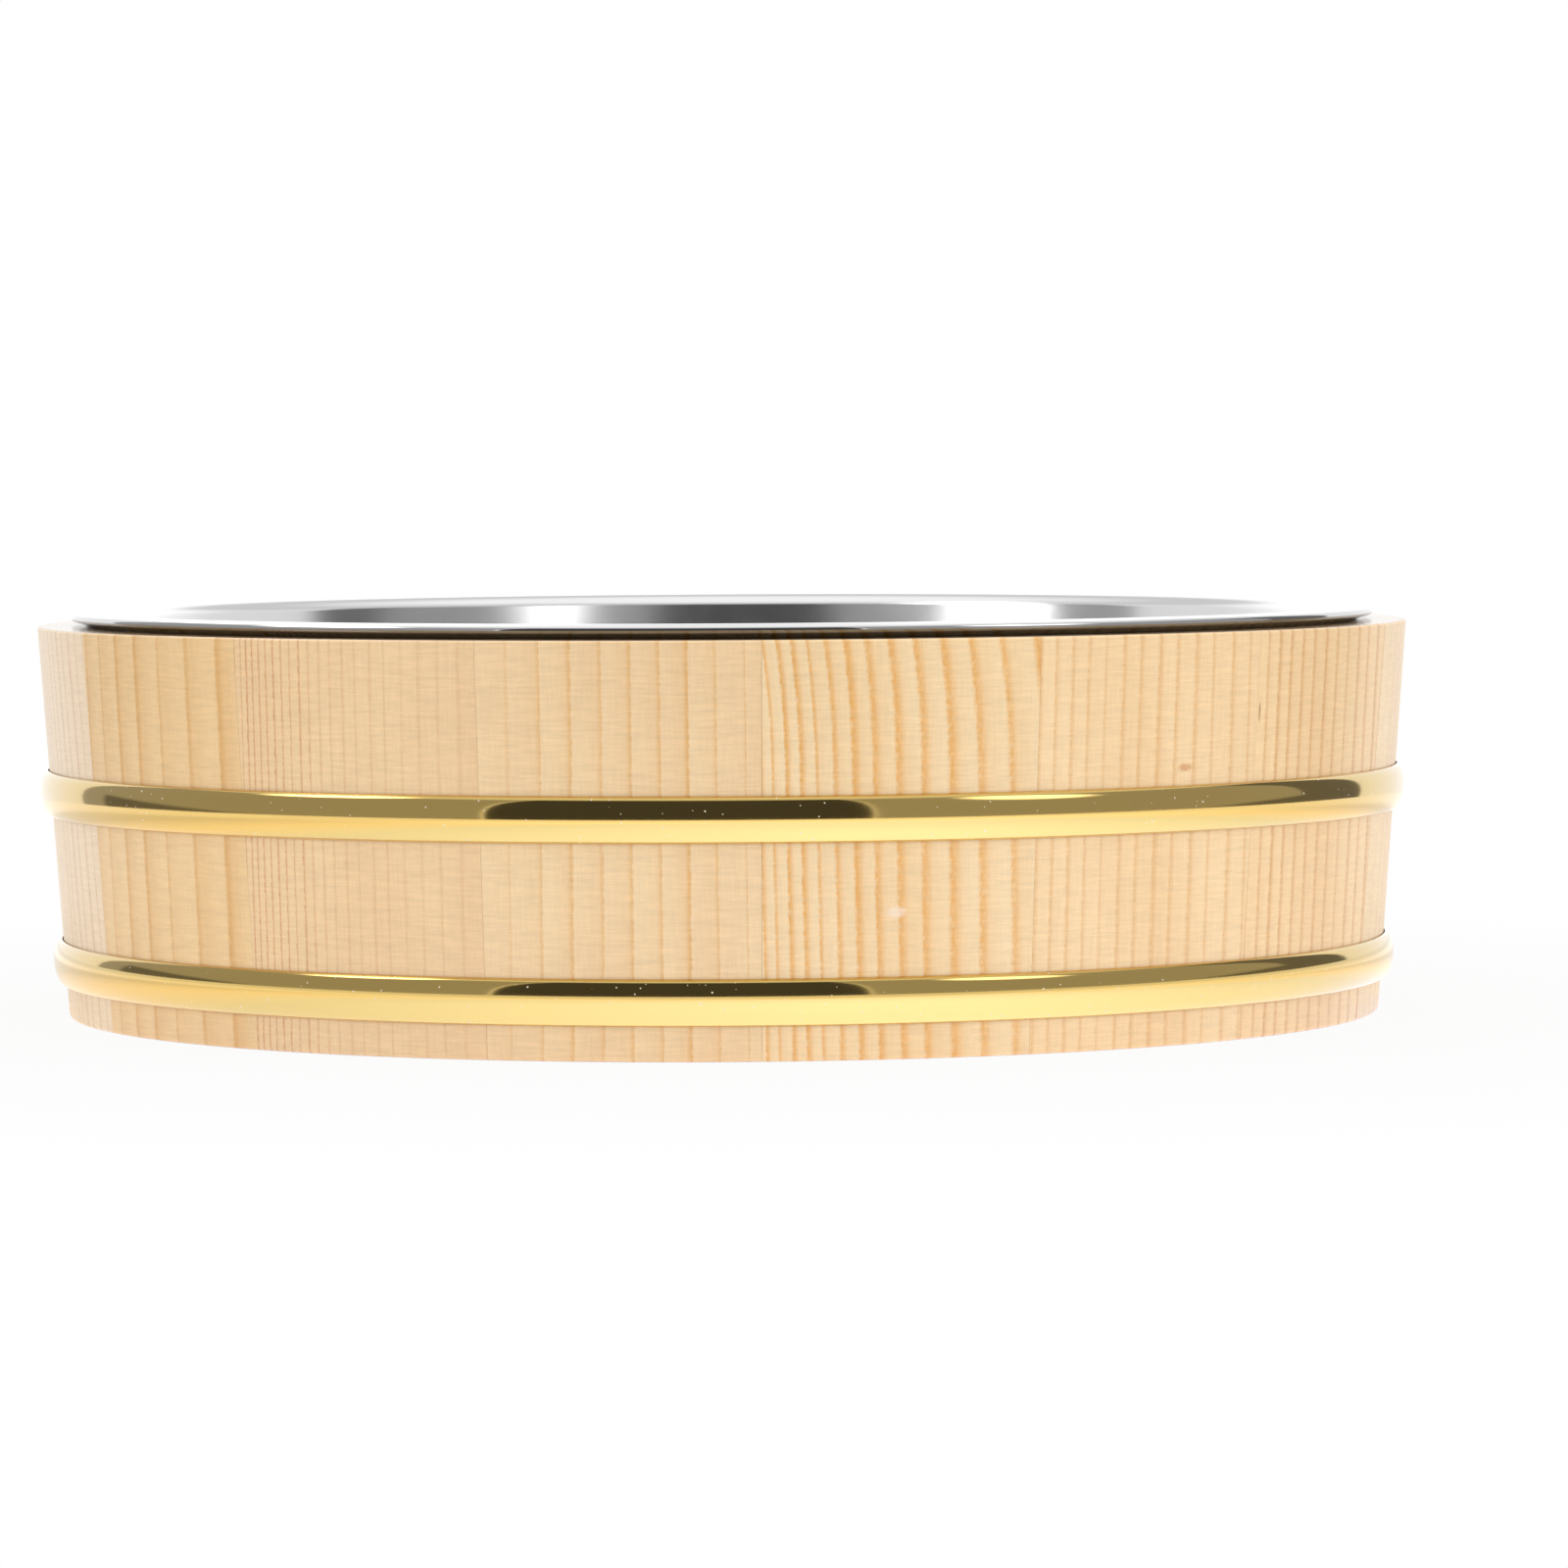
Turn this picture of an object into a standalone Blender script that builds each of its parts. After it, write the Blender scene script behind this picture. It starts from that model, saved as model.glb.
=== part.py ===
"""Coopered sushi rice tub: softwood staves round a floor of boards, two hoops and a lift-out steel pan.

Metres, +Z up. The origin is the centre of the foot, on the plane the tub stands on, and -Y is the front.
"""

import math

import bmesh
import bpy
from mathutils import Matrix, Vector

# Wall of staves
STAVE_COUNT = 16
TOP_DIAMETER = 0.250
BASE_DIAMETER = 0.2396
WALL_HEIGHT = 0.071
STAVE_THICKNESS = 0.010
FIRST_JOINT_BEARING = math.radians(-87.0)
ARRIS = 0.0006

# Floor of boards, held in a groove (the croze) that runs round the inside of the staves
FLOOR_BOARDS = 3
FLOOR_THICKNESS = 0.009
FLOOR_RECESS = 0.008
CROZE_DEPTH = 0.004

# Bamboo pegs in the joints of staves and of floor boards
PEG_DIAMETER = 0.003
PEG_LENGTH = 0.016
STAVE_PEG_HEIGHT = 0.044
FLOOR_PEG_SPACING = 0.100

# Hoops: a half-oval band of thin sheet, hollow at the back
HOOP_WIDTH = 0.0076
HOOP_BULGE = 0.0018
HOOP_SHEET = 0.0006
LOWER_HOOP_HEIGHT = 0.0103
UPPER_HOOP_HEIGHT = 0.0411

# Pan: one drawn sheet that hangs on the wall by its rolled rim
PAN_SHEET = 0.0007
PAN_ROLL_DIAMETER = 0.0022
PAN_ROLL_SWEEP = math.radians(240.0)
PAN_RIM_LAP = 0.0040
PAN_LIP_RADIUS = 0.0030
PAN_CORNER_RADIUS = 0.010
PAN_EXTRA_DRAFT = math.radians(2.0)
PAN_WALL_CLEARANCE = 0.0009
PAN_FLOOR_CLEARANCE = 0.0030

# Fits: a glue line between edges, and the gap between pieces that seat on each other
GLUE_LINE = 0.0001
PEG_FIT = 0.0001
SEAT_GAP = 0.0003

# Fineness of the round shapes
FACETS_PER_STAVE = 5
HOOP_FACE_STEPS = 8
HOOP_BACK_STEPS = 4
CORNER_STEPS = 3
LIP_STEPS = 3
ROLL_STEPS = 6
PEG_SIDES = 8
SMOOTH_ANGLE = math.radians(35.0)
WELD = 1e-6
FLAT = math.radians(0.01)

# Sizes that follow from the ones above
STAVE_PITCH = 2 * math.pi / STAVE_COUNT
TURN_STEPS = STAVE_COUNT * FACETS_PER_STAVE
TAPER = math.atan2(TOP_DIAMETER - BASE_DIAMETER, 2 * WALL_HEIGHT)
FLOOR_TOP = FLOOR_RECESS + FLOOR_THICKNESS


def outer_radius(height):
    """Radius of the wall's outer face at a height above the foot."""
    return BASE_DIAMETER / 2 + height * math.tan(TAPER)


def inner_radius(height):
    """Radius of the wall's inner face at a height above the foot."""
    return outer_radius(height) - STAVE_THICKNESS


CROZE_RADIUS = inner_radius(FLOOR_RECESS + FLOOR_THICKNESS / 2) + CROZE_DEPTH
FLOOR_RADIUS = CROZE_RADIUS - SEAT_GAP
FLOOR_BOARD_WIDTH = 2 * FLOOR_RADIUS / FLOOR_BOARDS


# Shapes shared by the pieces


def clear_scene():
    """Removes the objects of the scene that the script starts in."""
    for obj in list(bpy.data.objects):
        bpy.data.objects.remove(obj)


def finish(name, colour, roughness, metallic):
    """A plain material of one colour (linear), roughness and metallic value."""
    material = bpy.data.materials.new(name)
    material.use_nodes = True
    shader = material.node_tree.nodes["Principled BSDF"]
    shader.inputs["Base Color"].default_value = (*colour, 1.0)
    shader.inputs["Roughness"].default_value = roughness
    shader.inputs["Metallic"].default_value = metallic
    return material


def mesh_from(bm, name, material=None):
    """Turns a bmesh into a mesh with outward faces, smooth apart from its sharp edges."""
    bmesh.ops.recalc_face_normals(bm, faces=bm.faces)
    mesh = bpy.data.meshes.new(name)
    bm.to_mesh(mesh)
    bm.free()
    mesh.shade_smooth()
    mesh.set_sharp_from_angle(angle=SMOOTH_ANGLE)
    if material:
        mesh.materials.append(material)
    return mesh


def place(name, mesh, parent=None, matrix=None):
    """Adds an object that shows a mesh, under a parent."""
    obj = bpy.data.objects.new(name, mesh)
    bpy.context.scene.collection.objects.link(obj)
    obj.parent = parent
    if matrix:
        obj.matrix_local = matrix
    return obj


def turned(outline, steps, start, sweep=2 * math.pi):
    """A bmesh of (radius, height) points turned about Z from a bearing.

    An outline that begins and ends on the axis stays open there, and any other is a closed loop.
    A turn that isn't whole gets a flat face at each end.
    """
    bm = bmesh.new()
    bearing = Matrix.Rotation(start, 3, "Z")
    verts = [bm.verts.new(bearing @ Vector((radius, 0, height))) for radius, height in outline]
    followers = verts[1:] if outline[0][0] == 0 else verts[1:] + verts[:1]
    edges = [bm.edges.new(pair) for pair in zip(verts, followers)]
    bmesh.ops.spin(bm, geom=verts + edges, axis=(0, 0, 1), cent=(0, 0, 0), angle=sweep, steps=steps)
    bmesh.ops.remove_doubles(bm, verts=bm.verts, dist=WELD)
    bmesh.ops.holes_fill(bm, edges=[edge for edge in bm.edges if edge.is_boundary])
    return bm


def drilled(mesh, cutter_mesh, matrices):
    """A copy of a mesh with a cutter's shape taken out of it at each of several places."""
    block = place("block", mesh)
    cutters = [place("cutter", cutter_mesh, matrix=matrix) for matrix in matrices]
    for cutter in cutters:
        cut = block.modifiers.new("hole", "BOOLEAN")
        cut.solver = "EXACT"
        cut.object = cutter
        cut.operation = "DIFFERENCE"
    bpy.context.view_layer.update()
    evaluated = block.evaluated_get(bpy.context.evaluated_depsgraph_get())
    result = bpy.data.meshes.new_from_object(evaluated)
    result.name = mesh.name
    for helper in (block, *cutters):
        bpy.data.objects.remove(helper)
    return result


# Bamboo pegs


def peg_mesh(name, fit=0.0, material=None):
    """A round peg along Y, or the hole for one where a fit is added all round."""
    bm = bmesh.new()
    bmesh.ops.create_cone(
        bm,
        cap_ends=True,
        segments=PEG_SIDES,
        radius1=PEG_DIAMETER / 2 + fit,
        radius2=PEG_DIAMETER / 2 + fit,
        depth=PEG_LENGTH + 2 * fit,
        matrix=Matrix.Rotation(math.pi / 2, 4, "X"),
    )
    return mesh_from(bm, name, material)


def stave_peg_place(bearing):
    """Where a peg crosses the stave joint at a bearing, in the middle of the wall's thickness."""
    middle = outer_radius(STAVE_PEG_HEIGHT) - STAVE_THICKNESS / 2
    return Matrix.Rotation(bearing, 4, "Z") @ Matrix.Translation((middle, 0, STAVE_PEG_HEIGHT))


def floor_peg_places():
    """Where pegs cross the joints of the floor boards, two to a joint, in the middle of their thickness."""
    height = FLOOR_RECESS + FLOOR_THICKNESS / 2
    across = Matrix.Rotation(math.pi / 2, 4, "Z")
    places = []
    for joint in range(1, FLOOR_BOARDS):
        x = joint * FLOOR_BOARD_WIDTH - FLOOR_RADIUS
        for y in (-FLOOR_PEG_SPACING / 2, FLOOR_PEG_SPACING / 2):
            places.append(Matrix.Translation((x, y, height)) @ across)
    return places


# Staves


def stave_outline():
    """Section of a stave: a sloping slab with broken edges and the croze cut into its inner face."""
    croze_top = FLOOR_TOP + SEAT_GAP
    croze_bottom = FLOOR_RECESS - SEAT_GAP
    return [
        (outer_radius(0) - ARRIS, 0),
        (outer_radius(ARRIS), ARRIS),
        (outer_radius(WALL_HEIGHT - ARRIS), WALL_HEIGHT - ARRIS),
        (outer_radius(WALL_HEIGHT) - ARRIS, WALL_HEIGHT),
        (inner_radius(WALL_HEIGHT) + ARRIS, WALL_HEIGHT),
        (inner_radius(WALL_HEIGHT - ARRIS), WALL_HEIGHT - ARRIS),
        (inner_radius(croze_top), croze_top),
        (CROZE_RADIUS, croze_top),
        (CROZE_RADIUS, croze_bottom),
        (inner_radius(croze_bottom), croze_bottom),
        (inner_radius(ARRIS), ARRIS),
        (inner_radius(0) + ARRIS, 0),
    ]


def build_staves(parent, wood, bamboo):
    """The ring of staves, each with half of a peg hole in either edge, and the pegs in their joints."""
    sweep = STAVE_PITCH - GLUE_LINE / outer_radius(WALL_HEIGHT)
    slab = mesh_from(turned(stave_outline(), FACETS_PER_STAVE, -sweep / 2, sweep), "stave", wood)
    hole = peg_mesh("stave_peg_hole", PEG_FIT)
    mesh = drilled(slab, hole, [stave_peg_place(side * STAVE_PITCH / 2) for side in (-1, 1)])
    peg = peg_mesh("stave_peg", material=bamboo)
    for index in range(STAVE_COUNT):
        joint = FIRST_JOINT_BEARING + index * STAVE_PITCH
        place(f"stave_{index + 1:02d}", mesh, parent, Matrix.Rotation(joint + STAVE_PITCH / 2, 4, "Z"))
        place(f"stave_peg_{index + 1:02d}", peg, parent, stave_peg_place(joint))


# Floor


def floor_board_mesh(index, wood):
    """One board of the floor disc, cut from the whole disc by the planes of its two edges."""
    rim = [(FLOOR_RADIUS - ARRIS, FLOOR_RECESS), (FLOOR_RADIUS, FLOOR_RECESS + ARRIS)]
    rim += [(FLOOR_RADIUS, FLOOR_TOP - ARRIS), (FLOOR_RADIUS - ARRIS, FLOOR_TOP)]
    bm = turned([(0, FLOOR_RECESS), *rim, (0, FLOOR_TOP)], TURN_STEPS, FIRST_JOINT_BEARING)
    left = index * FLOOR_BOARD_WIDTH - FLOOR_RADIUS
    edges = []
    if index > 0:
        edges.append((left + GLUE_LINE / 2, -1))
    if index < FLOOR_BOARDS - 1:
        edges.append((left + FLOOR_BOARD_WIDTH - GLUE_LINE / 2, 1))
    for x, side in edges:
        disc = bm.verts[:] + bm.edges[:] + bm.faces[:]
        bmesh.ops.bisect_plane(bm, geom=disc, plane_co=(x, 0, 0), plane_no=(side, 0, 0), clear_outer=True)
        bmesh.ops.holes_fill(bm, edges=[edge for edge in bm.edges if edge.is_boundary])
    bmesh.ops.dissolve_limit(bm, angle_limit=FLAT, verts=bm.verts, edges=bm.edges)
    return mesh_from(bm, "floor_board", wood)


def build_floor(parent, wood, bamboo):
    """The floor boards, edge to edge in the croze, and the pegs in their joints."""
    pegs = floor_peg_places()
    hole = peg_mesh("floor_peg_hole", PEG_FIT)
    peg = peg_mesh("floor_peg", material=bamboo)
    for index in range(FLOOR_BOARDS):
        place(f"floor_board_{index + 1}", drilled(floor_board_mesh(index, wood), hole, pegs), parent)
    for index, where in enumerate(pegs):
        place(f"floor_peg_{index + 1}", peg, parent, where)


# Hoops


def hoop_outline(height):
    """Section of a hoop round the wall at a height: a half oval with a hollow back towards the wood."""
    up = Vector((math.sin(TAPER), math.cos(TAPER)))
    out = Vector((math.cos(TAPER), -math.sin(TAPER)))
    seat = Vector((outer_radius(height), height)) + out * SEAT_GAP

    def half_oval(half_width, bulge, steps):
        angles = [math.pi * step / steps for step in range(steps + 1)]
        return [seat - up * (half_width * math.cos(a)) + out * (bulge * math.sin(a)) for a in angles]

    face = half_oval(HOOP_WIDTH / 2, HOOP_BULGE, HOOP_FACE_STEPS)
    back = half_oval(HOOP_WIDTH / 2 - HOOP_SHEET, HOOP_BULGE - HOOP_SHEET, HOOP_BACK_STEPS)
    return [tuple(point) for point in face + back[::-1]]


def build_hoops(parent, metal):
    """The two hoops that hold the staves together."""
    for name, height in (("hoop_lower", LOWER_HOOP_HEIGHT), ("hoop_upper", UPPER_HOOP_HEIGHT)):
        ring = turned(hoop_outline(height), TURN_STEPS, FIRST_JOINT_BEARING)
        place(name, mesh_from(ring, name, metal), parent)


# Pan


def sheet_outline(start, moves, sheet):
    """Section of a bent sheet, as a loop of (radius, height) points.

    Its upper face leaves the start point outwards and follows the moves: (length,) is a straight run,
    and (angle, radius, steps) is a bend of the upper face, positive where it turns up.
    The lower face runs at the sheet's thickness below it.
    """
    heading = 0.0
    upper = [Vector(start)]
    normals = [Vector((0, 1))]
    for move in moves:
        if len(move) == 1:
            upper.append(upper[-1] + move[0] * Vector((math.cos(heading), math.sin(heading))))
            normals.append(normals[-1])
            continue
        angle, radius, steps = move
        side = math.copysign(radius, angle)
        centre = upper[-1] + side * normals[-1]
        for _ in range(steps):
            heading += angle / steps
            normals.append(Vector((-math.sin(heading), math.cos(heading))))
            upper.append(centre - side * normals[-1])
    lower = [point - sheet * normal for point, normal in zip(upper, normals)]
    return [tuple(point) for point in upper + lower[::-1]]


def pan_outline():
    """Section of the pan from the middle of its floor to the end of its rolled rim, seen from its seat."""
    draft = TAPER + PAN_EXTRA_DRAFT
    rise = math.pi / 2 - draft
    roll_radius = PAN_ROLL_DIAMETER / 2
    floor = FLOOR_TOP + PAN_FLOOR_CLEARANCE + PAN_SHEET - WALL_HEIGHT - SEAT_GAP
    mouth = inner_radius(WALL_HEIGHT) - PAN_WALL_CLEARANCE - PAN_SHEET / math.cos(draft)
    roll_centre = inner_radius(WALL_HEIGHT) + PAN_RIM_LAP - roll_radius
    lip_radius = min(PAN_LIP_RADIUS, (roll_centre - mouth) / math.cos(draft))
    ledge = roll_centre - mouth - lip_radius * math.cos(draft)
    wall_top = PAN_ROLL_DIAMETER - lip_radius * (1 - math.sin(draft))
    corner_rise = PAN_CORNER_RADIUS * (1 - math.cos(rise))
    slope = (wall_top - floor - corner_rise) / math.sin(rise)
    flat = mouth - slope * math.cos(rise) - PAN_CORNER_RADIUS * math.sin(rise)
    moves = [
        (flat,),
        (rise, PAN_CORNER_RADIUS, CORNER_STEPS),
        (slope,),
        (-rise, lip_radius, LIP_STEPS),
        (ledge,),
        (-PAN_ROLL_SWEEP, roll_radius, ROLL_STEPS),
    ]
    return sheet_outline((0, floor), moves, PAN_SHEET)


def build_pan(parent, steel):
    """The pan, whose origin is on its lifting axis at the height of its seat on the wall."""
    pan = mesh_from(turned(pan_outline(), TURN_STEPS, FIRST_JOINT_BEARING), "pan", steel)
    place("pan", pan, parent, Matrix.Translation((0, 0, WALL_HEIGHT + SEAT_GAP)))


def main():
    clear_scene()
    pine = finish("pine", (0.78, 0.56, 0.33), 0.55, 0.0)
    bamboo = finish("bamboo", (0.62, 0.46, 0.22), 0.60, 0.0)
    gilt = finish("gilt_brass", (0.83, 0.60, 0.18), 0.15, 1.0)
    steel = finish("stainless_steel", (0.62, 0.62, 0.62), 0.12, 1.0)
    tub = place("tub", None)
    build_staves(tub, pine, bamboo)
    build_floor(tub, pine, bamboo)
    build_hoops(tub, gilt)
    build_pan(tub, steel)


main()
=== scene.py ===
import math

import bmesh
import bpy
from mathutils import Matrix, Vector


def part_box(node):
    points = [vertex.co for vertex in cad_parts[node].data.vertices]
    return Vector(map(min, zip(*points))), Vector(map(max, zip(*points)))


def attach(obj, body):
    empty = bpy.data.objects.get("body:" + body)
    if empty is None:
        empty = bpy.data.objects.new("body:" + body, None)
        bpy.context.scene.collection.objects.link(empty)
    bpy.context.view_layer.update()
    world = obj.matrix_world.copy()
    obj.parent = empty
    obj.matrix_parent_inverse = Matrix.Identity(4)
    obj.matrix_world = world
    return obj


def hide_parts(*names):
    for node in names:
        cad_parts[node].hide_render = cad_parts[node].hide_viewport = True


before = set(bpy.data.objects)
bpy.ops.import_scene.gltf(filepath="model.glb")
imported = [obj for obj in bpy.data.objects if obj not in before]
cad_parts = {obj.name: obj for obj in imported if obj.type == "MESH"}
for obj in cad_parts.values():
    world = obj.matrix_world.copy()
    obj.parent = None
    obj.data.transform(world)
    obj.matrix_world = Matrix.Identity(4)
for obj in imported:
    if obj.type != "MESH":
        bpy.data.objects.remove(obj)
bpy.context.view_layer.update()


# Staves: sixteen tapered staves of resinous pine, pegged and glued edge to edge, then turned true outside
# and sanded. The rim and the foot have their edges just broken, and a groove inside takes the floor.
STAVE_COUNT = 16
FIRST_JOINT = math.radians(-87.0)
TOP_RADIUS = 0.125
FOOT_RADIUS = 0.1198
STAVE_THICKNESS = 0.010
CROZE_DEPTH = 0.004
SEAT_GAP = 0.0003
GLUE_LINE = 0.00004
ARRIS = 0.0006
ARRIS_STEPS = 5
STAVE_STEPS = 12
SHARP_ANGLE = math.radians(30)
MM = 1000.0
IN_MM = (MM, MM, MM)

wall_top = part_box("stave_01")[1].z
floor_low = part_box("floor_board_2")[0].z
floor_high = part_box("floor_board_2")[1].z
stave_pitch = 2 * math.pi / STAVE_COUNT
taper = math.atan2(TOP_RADIUS - FOOT_RADIUS, wall_top)


def stave_radius(height):
    """Radius of the staves' outer face at a height above the foot."""
    return FOOT_RADIUS + height * math.tan(taper)


def add(tree, kind, inputs=None, **settings):
    """Adds a node. Settings are its own properties, and inputs are values, or nodes and sockets to link."""
    made = tree.nodes.new(kind)
    for key, value in settings.items():
        setattr(made, key, value)
    for key, value in (inputs or {}).items():
        if isinstance(value, bpy.types.Node):
            value = value.outputs[0]
        if isinstance(value, bpy.types.NodeSocket):
            tree.links.new(value, made.inputs[key])
        else:
            made.inputs[key].default_value = value
    return made


def linear(hex_colour):
    """A hex sRGB colour as linear red, green, blue and alpha."""
    parts = [int(hex_colour[i : i + 2], 16) / 255 for i in (0, 2, 4)]
    return [p / 12.92 if p <= 0.04045 else ((p + 0.055) / 1.055) ** 2.4 for p in parts] + [1.0]


def new_material(name):
    """An empty material, its node tree, and the node that says where on the piece a point is."""
    material = bpy.data.materials.new(name)
    material.use_nodes = True
    tree = material.node_tree
    tree.nodes.clear()
    return material, tree, add(tree, "ShaderNodeTexCoord")


def new_object(bm, name, material):
    """Puts a bmesh of one material into the scene."""
    mesh = bpy.data.meshes.new(name)
    bm.to_mesh(mesh)
    bm.free()
    mesh.materials.append(material)
    piece = bpy.data.objects.new(name, mesh)
    bpy.context.scene.collection.objects.link(piece)
    return piece


def finish_piece(bm, name, material):
    """Makes a piece of the tub of a bmesh: smooth apart from sharp edges, with large faces shaded flat."""
    piece = new_object(bm, name, material)
    piece.data.shade_smooth()
    piece.data.set_sharp_from_angle(angle=SHARP_ANGLE)
    even = piece.modifiers.new("even_shading", "WEIGHTED_NORMAL")
    even.keep_sharp = True
    return piece


# Patterns in the pine, in repeats to a millimetre: twice across the grain, then along it. Cells and fibres
# are drawn coarser than real ones, so that they show.
SWAYS = (0.03, 0.03, 0.012)
CELLS = (1.6, 1.6, 1.1)
CLOUDS = (0.06, 0.06, 0.016)
FIBRES = (2.6, 2.6, 0.07)
RIPPLES = (0.15, 0.15, 1.9)

# Lines are placed at one height on the stave, and bow from a few millimetres below it. Their sides are
# ragged, their widths differ, and where a board goes plain they fade over a few millimetres. The next stave
# of a kind of board is cut one pitch further along it.
LINES_HEIGHT = 0.058
BOARD_PITCH = 0.097
BOW_BELOW = 8.0
RAGGED = 0.5
LEAST_SPREAD = 0.01
LATE_WIDTHS = (0.6, 1.4)
LINE_GAPS = (0.35, 0.6)
GAP_STRENGTH = 0.5
FADE_WIDTH = 4
TAIL_SHARE = 0.8

# How far the patterns, and the way a face looks, change the wood's brightness and its gloss.
FIBRE_SHADE = (0.96, 1.04)
# The sanding ripples' pale streaks are partly a painted sheen: glints on the ripples drawn into the colour.
RIPPLE_SHADE_AND_SHEEN = (0.93, 1.08)
# Painted highlight: faces turned a little upward, such as the broken arrises, are drawn paler as if lit
# from above.
ARRIS_HIGHLIGHT_FACING = (0.2, 0.5)
ARRIS_HIGHLIGHT = 1.15
SAWN_FACING = (0.9, 0.99)
SAWN_SHADE = 0.5
SAWN_GLOSS = 0.4
MARK_EDGE = (0.8, 1.6)
MARK_STRENGTH = 0.7
PINE_ROUGHNESS = (0.30, 0.46)
GRAIN_DEPTH = 0.00006


def planed_pine(name, turn, origin, board):
    """Planed and sanded pine under a thin satin oil: pale earlywood crossed by narrow amber latewood lines.

    The growth rings are sheets in the depth of the wood, placed in millimetres across the board. A line is
    sharp on one side and fades on the other. The sanding leaves faint ripples across the grain: their
    relief is a bump, and their pale streaks are partly a painted sheen. The oil is a clear coat that looks
    paler where the wall turns away.
    """
    material, tree, place = new_material(name)
    seat = {"Vector": place.outputs["Object"], "Location": origin, "Rotation": turn, "Scale": IN_MM}
    wood = add(tree, "ShaderNodeMapping", seat)

    broad = add(tree, "ShaderNodeVectorMath", {0: wood, 1: SWAYS}, operation="MULTIPLY")
    sway = add(tree, "ShaderNodeTexNoise", {"Vector": broad, "Scale": 1.0, "Detail": 2.0, "Roughness": 0.4})
    lie = (board["slant"], board["side"], -board["side"] * board["lean"])
    flat = add(tree, "ShaderNodeVectorMath", {0: wood, 1: lie}, operation="DOT_PRODUCT")
    wavy = {0: sway, 1: board["sway"], 2: flat.outputs["Value"]}
    swung = add(tree, "ShaderNodeMath", wavy, operation="MULTIPLY_ADD")
    axes = add(tree, "ShaderNodeSeparateXYZ", {0: wood})
    above = add(tree, "ShaderNodeMath", {0: axes.outputs[2], 1: BOW_BELOW}, operation="ADD")
    above = add(tree, "ShaderNodeMath", {0: above, 1: 0.0}, operation="MAXIMUM")
    arch = add(tree, "ShaderNodeMath", {0: above, 1: 2.0}, operation="POWER")
    bowed = add(tree, "ShaderNodeMath", {0: arch, 1: board["bow"], 2: swung}, operation="MULTIPLY_ADD")
    dots = add(tree, "ShaderNodeVectorMath", {0: wood, 1: CELLS}, operation="MULTIPLY")
    cells = add(tree, "ShaderNodeTexNoise", {"Vector": dots, "Scale": 1.0, "Detail": 3.0, "Roughness": 0.6})
    across = add(tree, "ShaderNodeMath", {0: cells, 1: RAGGED, 2: bowed}, operation="MULTIPLY_ADD")
    step = (board["growth"] - 1) / board["ring"]
    offset = 1 - (board["first"] + (board["sway"] + RAGGED) / 2) * step
    spread = add(tree, "ShaderNodeMath", {0: across, 1: step, 2: offset}, operation="MULTIPLY_ADD")
    safe = add(tree, "ShaderNodeMath", {0: spread, 1: LEAST_SPREAD}, operation="MAXIMUM")
    rings = add(tree, "ShaderNodeMath", {0: safe, 1: board["growth"]}, operation="LOGARITHM")
    year = add(tree, "ShaderNodeMath", {0: rings, 1: board["year"]}, operation="ADD")
    year = add(tree, "ShaderNodeMath", {0: year}, operation="FLOOR")
    season = add(tree, "ShaderNodeMath", {0: rings}, operation="FRACT")

    weather = add(tree, "ShaderNodeTexWhiteNoise", {"W": year}, noise_dimensions="1D")
    chance = weather.outputs["Value"]
    narrow, wide = [times * board["late_share"] for times in LATE_WIDTHS]
    width = add(tree, "ShaderNodeMapRange", {"Value": chance, "To Min": narrow, "To Max": wide})
    fade = {"Value": season, "From Max": width, "To Min": 1.0, "To Max": 0.0}
    summer = add(tree, "ShaderNodeMapRange", fade, interpolation_type="SMOOTHSTEP")
    edge = {"Value": season, "From Min": 1 - board["edge"]}
    autumn = add(tree, "ShaderNodeMapRange", edge, interpolation_type="SMOOTHSTEP")
    line = add(tree, "ShaderNodeMath", {0: summer, 1: autumn}, operation="MAXIMUM")
    strong = add(tree, "ShaderNodeMapRange", {"Value": chance, "To Min": board["weak"], "To Max": 1.0})
    gaps = {"Value": cells, "From Min": LINE_GAPS[0], "From Max": LINE_GAPS[1], "To Min": GAP_STRENGTH}
    broken = add(tree, "ShaderNodeMapRange", gaps)
    force = add(tree, "ShaderNodeMath", {0: strong, 1: broken}, operation="MULTIPLY")
    last, faint = board["last"]
    quiet = {"Value": across, "From Min": last, "From Max": last + FADE_WIDTH}
    until = add(tree, "ShaderNodeMapRange", quiet | {"To Min": 1.0, "To Max": faint})
    force = add(tree, "ShaderNodeMath", {0: force, 1: until}, operation="MULTIPLY")
    late = add(tree, "ShaderNodeMath", {0: line, 1: force}, operation="MULTIPLY")
    slow = {"Value": season, "From Max": TAIL_SHARE, "To Min": board["tail"], "To Max": 0.0}
    warm = add(tree, "ShaderNodeMapRange", slow, interpolation_type="SMOOTHSTEP")
    warm = add(tree, "ShaderNodeMath", {0: warm, 1: strong}, operation="MULTIPLY")
    warm = add(tree, "ShaderNodeMath", {0: warm, 1: until}, operation="MULTIPLY")

    cloud = add(tree, "ShaderNodeVectorMath", {0: wood, 1: CLOUDS}, operation="MULTIPLY")
    tone = add(tree, "ShaderNodeTexNoise", {"Vector": cloud, "Scale": 1.0, "Detail": 3.0})
    patchy = add(tree, "ShaderNodeMapRange", {"Value": tone, "From Min": 0.3, "From Max": 0.7})
    blush = {0: patchy, 6: linear(board["early"]), 7: linear(board["blush"])}
    early = add(tree, "ShaderNodeMix", blush, data_type="RGBA")
    trail = {0: warm, 6: early.outputs[2], 7: linear(board["late"])}
    amber = add(tree, "ShaderNodeMix", trail, data_type="RGBA")
    ground = {0: late, 6: amber.outputs[2], 7: linear(board["late"])}
    ringed = add(tree, "ShaderNodeMix", ground, data_type="RGBA")

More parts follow.
